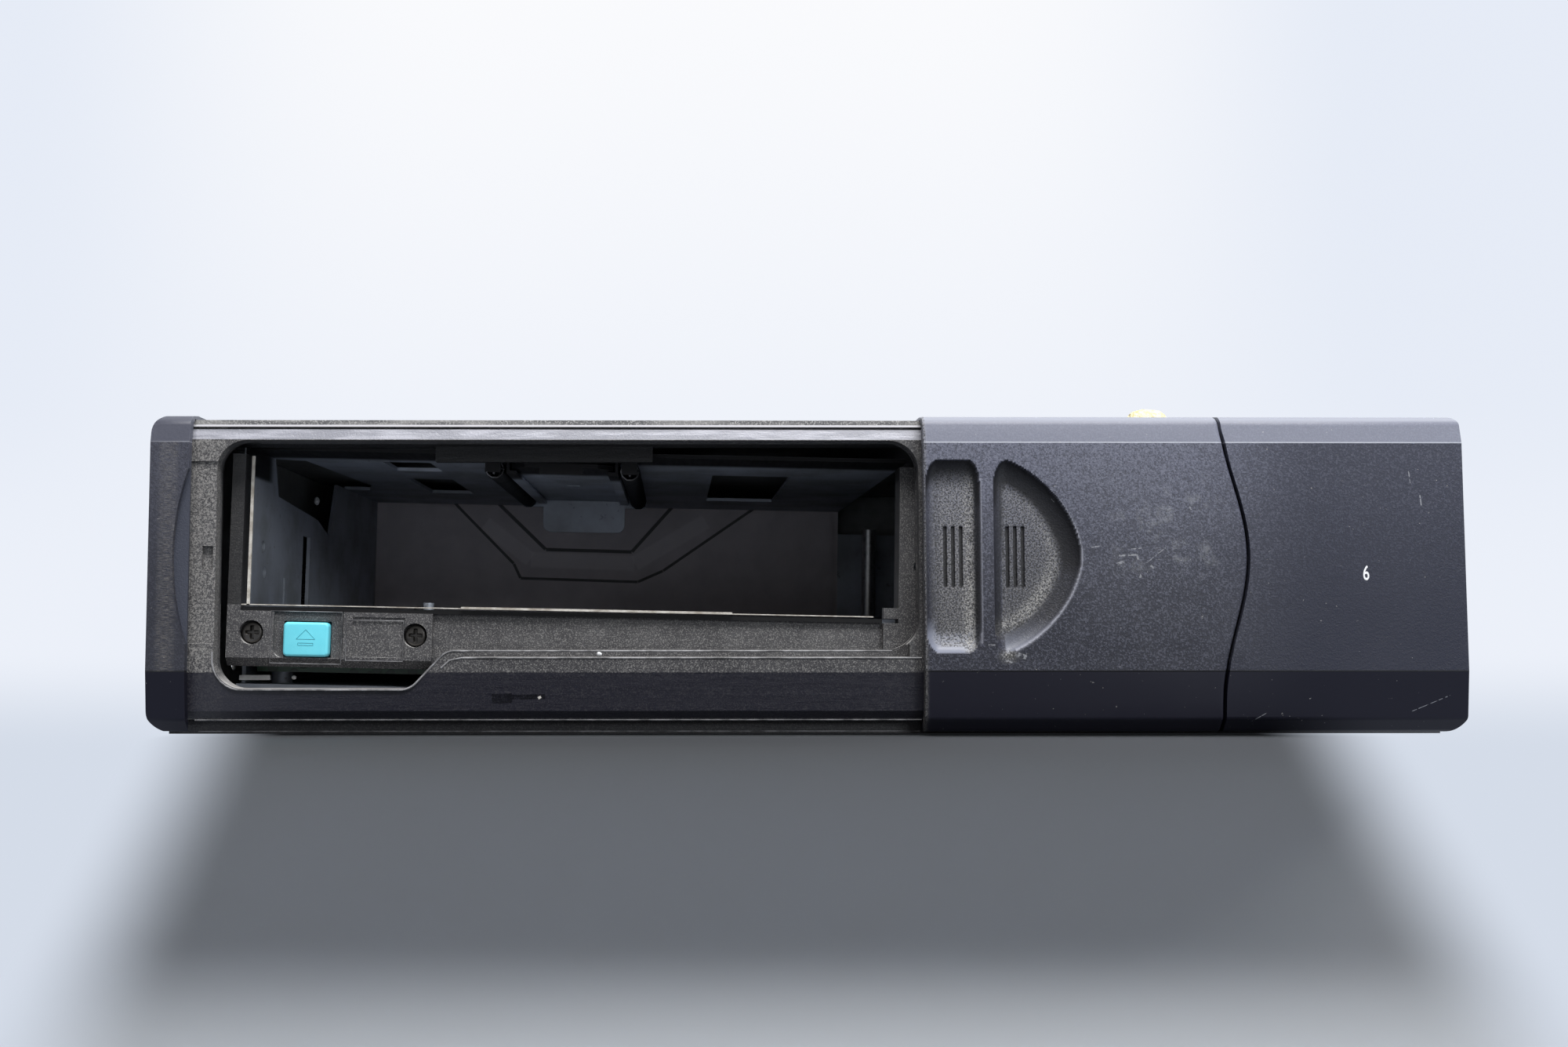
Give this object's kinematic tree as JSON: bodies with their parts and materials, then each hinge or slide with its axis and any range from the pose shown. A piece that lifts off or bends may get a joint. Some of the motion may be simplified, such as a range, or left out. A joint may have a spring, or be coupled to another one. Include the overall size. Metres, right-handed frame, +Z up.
{
  "type": "car cd changer",
  "caption": "Boot-mounted car CD changer: sliding front door with coupled shutter, magazine bay with eject button and sprung ejector, and a floating disc player in a steel case.",
  "frame": {"origin": "centre of the unit in plan, at its underside", "axes": "+X to the right seen from the front, +Y from the front to the rear, +Z up"},
  "size_m": [0.2556, 0.17, 0.0668],
  "materials": {
    "case_steel": "zinc-plated sheet, dull",
    "front_plastic": "finely textured",
    "frame_plastic": "finely textured, dusty",
    "bay_steel": "zinc-plated, passivated",
    "screw_steel": "turned",
    "spring_steel": "wound wire",
    "motor_steel": "drawn can",
    "cast_metal": "die cast",
    "button_plastic": "translucent turquoise",
    "dial_plastic": "moulded",
    "gear_plastic": "natural acetal",
    "socket_plastic": "moulded",
    "chip_plastic": "moulded",
    "board": "solder mask",
    "ribbon": "flexible film",
    "rubber": "soft",
    "foam": "aged open-cell foam",
    "lens_glass": "coated"
  },
  "bodies": {
    "case": {"lower_case": "case_steel", "top_cover": "case_steel", "cover_screws": "screw_steel", "left_end_cap": "front_plastic", "front_frame": "frame_plastic", "right_front_panel": "front_plastic", "damper_pins": "screw_steel", "rear_socket": "socket_plastic", "ribbon_cable": "ribbon", "foam_pad": "foam", "suspension_springs": "spring_steel"},
    "door": {"sliding_door": "front_plastic"},
    "shutter": {"inner_shutter": "frame_plastic"},
    "dial_left": {"angle_dial_left": "dial_plastic"},
    "dial_right": {"angle_dial_right": "dial_plastic"},
    "mechanism": {"escutcheon": "frame_plastic", "escutcheon_screws": "screw_steel", "bay_floor": "bay_steel", "bay_left_wall": "bay_steel", "bay_ceiling": "bay_steel", "bay_back_plate": "bay_steel", "player_chassis": "bay_steel", "main_board": "board", "board_parts": "chip_plastic", "damper_pots": "rubber", "lift_posts": "screw_steel", "lift_motor": "motor_steel", "loading_motor": "motor_steel", "drive_belt": "rubber", "latch_pivot": "screw_steel", "latch_spring": "spring_steel", "ejector_springs": "spring_steel"},
    "ejector": {"ejector_slider": "bay_steel"},
    "button": {"eject_button": "button_plastic"},
    "latch": {"magazine_latch": "bay_steel"},
    "deck": {"lift_deck": "bay_steel", "spindle_motor": "motor_steel", "guide_rail": "screw_steel", "sled_motor": "motor_steel", "tray_hook_rod": "screw_steel", "clamp_pivot": "screw_steel"},
    "slider": {"lift_slider": "bay_steel"},
    "screw": {"lift_screw": "screw_steel"},
    "turntable_hub": {"turntable": "gear_plastic"},
    "clamp": {"clamp_arm": "bay_steel"},
    "puck": {"clamp_puck": "gear_plastic"},
    "sled": {"pickup_sled": "cast_metal", "objective_lens": "lens_glass"},
    "sled_screw": {"lead_screw": "screw_steel"},
    "hook": {"tray_hook": "gear_plastic"},
    "cam": {"cam_gear": "gear_plastic"},
    "pulley": {"pulley_gear": "gear_plastic"},
    "motor_wheel": {"motor_pulley": "gear_plastic"}
  },
  "joints": [
    {"name": "door_slide", "type": "slide", "parent": "case", "child": "door", "axis": [-1, 0, 0], "range_m": [0, 0.1424]},
    {"name": "shutter_slide", "type": "slide", "parent": "case", "child": "shutter", "axis": [-1, 0, 0], "range_m": [0, 0.0973]},
    {"name": "dial_left_turn", "type": "hinge", "parent": "case", "child": "dial_left", "pos_m": [-0.1236, 0.01, 0.031], "axis": [1, 0, 0], "range_deg": [0, 90]},
    {"name": "dial_right_turn", "type": "hinge", "parent": "case", "child": "dial_right", "pos_m": [0.1236, 0.01, 0.031], "axis": [1, 0, 0], "range_deg": [0, 90]},
    {"name": "suspension", "type": "slide", "parent": "case", "child": "mechanism", "axis": [0, 0, 1], "range_m": [-0.001, 0.001], "stiffness_N_per_m": 6000, "springref_m": 0.0016, "deforming": ["suspension_springs", "ribbon_cable"]},
    {"name": "ejector_slide", "type": "slide", "parent": "mechanism", "child": "ejector", "axis": [0, 1, 0], "range_m": [0, 0.04], "stiffness_N_per_m": 60, "springref_m": -0.02, "deforming": ["ejector_springs"]},
    {"name": "eject_button_press", "type": "slide", "parent": "mechanism", "child": "button", "axis": [0, 1, 0], "range_m": [0, 0.0025], "stiffness_N_per_m": 500, "springref_m": -0.0012},
    {"name": "magazine_latch_turn", "type": "hinge", "parent": "mechanism", "child": "latch", "pos_m": [-0.08805, -0.0588, 0.02203], "axis": [0.02, 0, 0.9998], "range_deg": [-14.4, 0]},
    {"name": "lift_deck_rise", "type": "slide", "parent": "mechanism", "child": "deck", "axis": [0.02, 0, 0.9998], "range_m": [0, 0.022]},
    {"name": "lift_slider_run", "type": "slide", "parent": "mechanism", "child": "slider", "axis": [0, -1, 0], "range_m": [0, 0.0331]},
    {"name": "lift_screw_turn", "type": "hinge", "parent": "mechanism", "child": "screw", "pos_m": [0.10914, 0.0692, 0.00948], "axis": [0, 1, 0], "range_deg": [0, 2975]},
    {"name": "turntable_spin", "type": "hinge", "parent": "deck", "child": "turntable_hub", "pos_m": [0.054, 0, 0.02299], "axis": [0.02, 0, 0.9998], "continuous": true},
    {"name": "clamp_arm_lift", "type": "hinge", "parent": "deck", "child": "clamp", "pos_m": [0.05408, 0.064, 0.02698], "axis": [-0.9998, 0, 0.02], "range_deg": [0, 4]},
    {"name": "clamp_puck_spin", "type": "hinge", "parent": "clamp", "child": "puck", "pos_m": [0.0541, 0, 0.02798], "axis": [0.02, 0, 0.9998], "continuous": true},
    {"name": "pickup_slide", "type": "slide", "parent": "deck", "child": "sled", "axis": [0, 1, 0], "range_m": [0, 0.033]},
    {"name": "lead_screw_turn", "type": "hinge", "parent": "deck", "child": "sled_screw", "pos_m": [0.06783, 0.04, 0.01431], "axis": [0, 1, 0], "range_deg": [0, 3965]},
    {"name": "cam_gear_turn", "type": "hinge", "parent": "mechanism", "child": "cam", "pos_m": [0.0517, -0.045, 0.00803], "axis": [0.02, 0, 0.9998], "range_deg": [0, 270]},
    {"name": "tray_hook_run", "type": "slide", "parent": "deck", "child": "hook", "axis": [0.9998, 0, -0.02], "range_m": [0, 0.0601]},
    {"name": "pulley_gear_turn", "type": "hinge", "parent": "mechanism", "child": "pulley", "pos_m": [0.0758, -0.045, 0.00755], "axis": [0.02, 0, 0.9998], "range_deg": [-1081, 0]},
    {"name": "motor_pulley_turn", "type": "hinge", "parent": "mechanism", "child": "motor_wheel", "pos_m": [0.09739, -0.051, 0.00711], "axis": [0.02, 0, 0.9998], "range_deg": [-3605, 0]}
  ],
  "couplings": [
    {"joint": "shutter_slide", "follows": "door_slide", "ratio": 0.68188},
    {"joint": "magazine_latch_turn", "follows": "eject_button_press", "rad_per_m": -100},
    {"joint": "lift_slider_run", "follows": "lift_deck_rise", "ratio": 1.5},
    {"joint": "lift_screw_turn", "follows": "lift_deck_rise", "rad_per_m": 2356.2},
    {"joint": "lead_screw_turn", "follows": "pickup_slide", "rad_per_m": 2094.4},
    {"joint": "tray_hook_run", "follows": "cam_gear_turn", "m_per_rad": 0.012732},
    {"joint": "pulley_gear_turn", "follows": "cam_gear_turn", "ratio": -4},
    {"joint": "motor_pulley_turn", "follows": "cam_gear_turn", "ratio": -13.333}
  ]
}
